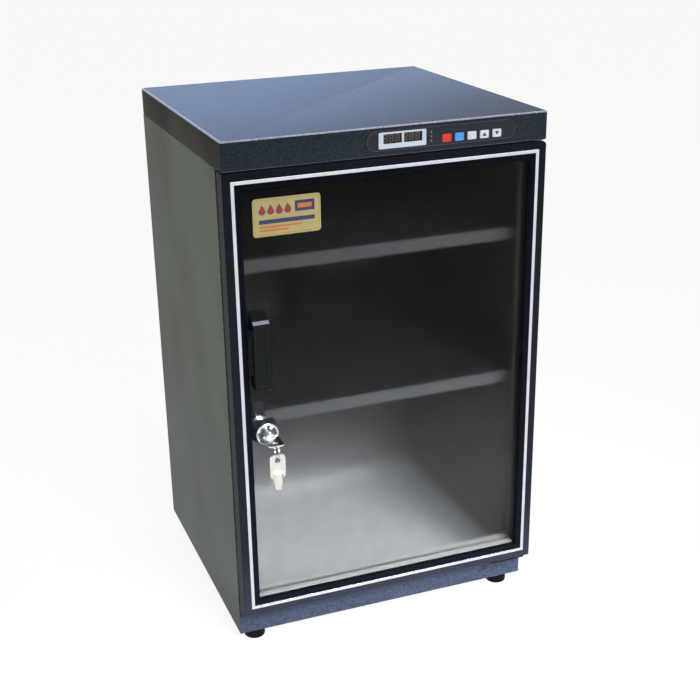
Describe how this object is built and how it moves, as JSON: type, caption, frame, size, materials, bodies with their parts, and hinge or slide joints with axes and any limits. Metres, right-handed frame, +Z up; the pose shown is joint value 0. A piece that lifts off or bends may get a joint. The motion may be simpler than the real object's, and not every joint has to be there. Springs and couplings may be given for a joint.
{
  "type": "camera dry cabinet",
  "caption": "Steel dry cabinet for cameras with a glazed hinged door, cam lock, shelves, control panel on the hood and a drying unit inside.",
  "frame": {"origin": "on the floor, in the middle of the box round the whole cabinet with its key", "axes": "+X to the right seen from the front, -Y towards the front, +Z up"},
  "size_m": [0.4, 0.4362, 0.657],
  "materials": {
    "body_paint": "fine textured dark charcoal powder coat",
    "rail_paint": "fine textured blue-grey powder coat",
    "hood_paint": "fine textured dark blue-grey powder coat",
    "inner_paint": "smooth light grey coat inside",
    "door_frame": "satin black coated aluminium extrusion",
    "bright_trim": "bright drawn strip with fine grooves",
    "glass": "clear tempered glass",
    "rubber_black": "matt black",
    "black_gloss": "glossy black moulding",
    "black_matte": "matt black moulding",
    "chrome": "polished plate",
    "steel": "zinc plated steel",
    "hinge_steel": "black coated steel",
    "label": "printed gold film",
    "overlay": "dark printed film",
    "bezel": "pale moulding",
    "display": "dark display module",
    "lamp": "clear red lamp",
    "key_red": "red key cap",
    "key_blue": "blue key cap",
    "key_white": "white key cap",
    "board": "green circuit board",
    "brass": "turned brass",
    "dryer": "dark grey housing",
    "desiccant": "desiccant tray",
    "heater": "heater plate",
    "flap": "light grey shutter",
    "probe": "off-white probe case"
  },
  "bodies": {
    "cabinet": {"side_panel_left": "body_paint", "side_panel_right": "body_paint", "back_panel": "body_paint", "floor_pan": "inner_paint", "ceiling_tray": "body_paint", "bottom_rail": "rail_paint", "top_rail": "body_paint", "hood": "hood_paint", "hood_screws": "steel", "feet": "rubber_black", "foot_bolts": "steel", "shelf_upper": "inner_paint", "shelf_middle": "inner_paint", "shelf_uprights": "inner_paint", "shelf_clips": "steel", "control_overlay": "overlay", "display_bezel": "bezel", "digit_modules": "display", "indicator_lamps": "lamp", "control_board": "board", "board_standoffs": "brass", "power_supply": "board", "power_inlet": "black_matte", "inlet_screws": "steel", "wiring": "rubber_black", "dryer_housing": "dryer", "dryer_cover": "dryer", "desiccant_pack": "desiccant", "heater_plate": "heater", "flap_pins": "steel", "vent_cover": "black_matte", "humidity_probe": "probe", "hinge_upper": "hinge_steel", "hinge_lower": "hinge_steel"},
    "door": {"door_stile_left": "door_frame", "door_stile_right": "door_frame", "door_rail_top": "door_frame", "door_rail_bottom": "door_frame", "door_trim": "bright_trim", "glass_pane": "glass", "glazing_bead": "rubber_black", "door_gasket": "rubber_black", "info_label": "label", "door_handle": "black_gloss", "handle_screws": "steel", "hinge_bushes": "brass", "lock_body": "chrome", "lock_block": "steel"},
    "lock": {"lock_core": "chrome", "lock_cam": "steel"},
    "main_key": {"door_key": "chrome"},
    "ring": {"key_ring": "steel"},
    "hanging_key": {"spare_key": "chrome"},
    "outer_shutter": {"outer_flap": "flap"},
    "inner_shutter": {"inner_flap": "flap"},
    "key_power_cap": {"key_power": "key_red"},
    "key_blue_cap": {"key_blue": "key_blue"},
    "key_set_cap": {"key_set": "key_white"},
    "key_up_arrow_cap": {"key_up_arrow": "key_white"},
    "key_down_arrow_cap": {"key_down_arrow": "key_white"}
  },
  "joints": [
    {"name": "door_swing", "type": "hinge", "parent": "cabinet", "child": "door", "pos_m": [0.191, -0.16053, 0.058], "axis": [0, 0, 1], "range_deg": [0, 110]},
    {"name": "lock_turn", "type": "hinge", "parent": "door", "child": "lock", "pos_m": [-0.1615, -0.16953, 0.306], "axis": [0, -1, 0], "range_deg": [0, 90]},
    {"name": "key_pull", "type": "slide", "parent": "lock", "child": "main_key", "axis": [0, -1, 0], "range_m": [0, 0.03]},
    {"name": "ring_swing", "type": "hinge", "parent": "main_key", "child": "ring", "pos_m": [-0.1615, -0.20833, 0.306], "axis": [1, 0, 0], "range_deg": [-12, 5]},
    {"name": "spare_key_swing", "type": "hinge", "parent": "ring", "child": "hanging_key", "pos_m": [-0.1615, -0.20833, 0.29023], "axis": [0, 1, 0], "range_deg": [-60, 60]},
    {"name": "outer_shutter_turn", "type": "hinge", "parent": "cabinet", "child": "outer_shutter", "pos_m": [0.065, 0.20508, 0.364], "axis": [-1, 0, 0], "range_deg": [0, 50]},
    {"name": "inner_shutter_turn", "type": "hinge", "parent": "cabinet", "child": "inner_shutter", "pos_m": [0.065, 0.16307, 0.364], "axis": [1, 0, 0], "range_deg": [-50, 0]},
    {"name": "key_power_press", "type": "slide", "parent": "cabinet", "child": "key_power_cap", "axis": [0, 1, 0], "range_m": [0, 0.0005], "stiffness_N_per_m": 400, "springref_m": -0.0005},
    {"name": "key_blue_press", "type": "slide", "parent": "cabinet", "child": "key_blue_cap", "axis": [0, 1, 0], "range_m": [0, 0.0005], "stiffness_N_per_m": 400, "springref_m": -0.0005},
    {"name": "key_set_press", "type": "slide", "parent": "cabinet", "child": "key_set_cap", "axis": [0, 1, 0], "range_m": [0, 0.0005], "stiffness_N_per_m": 400, "springref_m": -0.0005},
    {"name": "key_up_arrow_press", "type": "slide", "parent": "cabinet", "child": "key_up_arrow_cap", "axis": [0, 1, 0], "range_m": [0, 0.0005], "stiffness_N_per_m": 400, "springref_m": -0.0005},
    {"name": "key_down_arrow_press", "type": "slide", "parent": "cabinet", "child": "key_down_arrow_cap", "axis": [0, 1, 0], "range_m": [0, 0.0005], "stiffness_N_per_m": 400, "springref_m": -0.0005}
  ],
  "couplings": [
    {"joint": "inner_shutter_turn", "follows": "outer_shutter_turn", "ratio": -1}
  ]
}
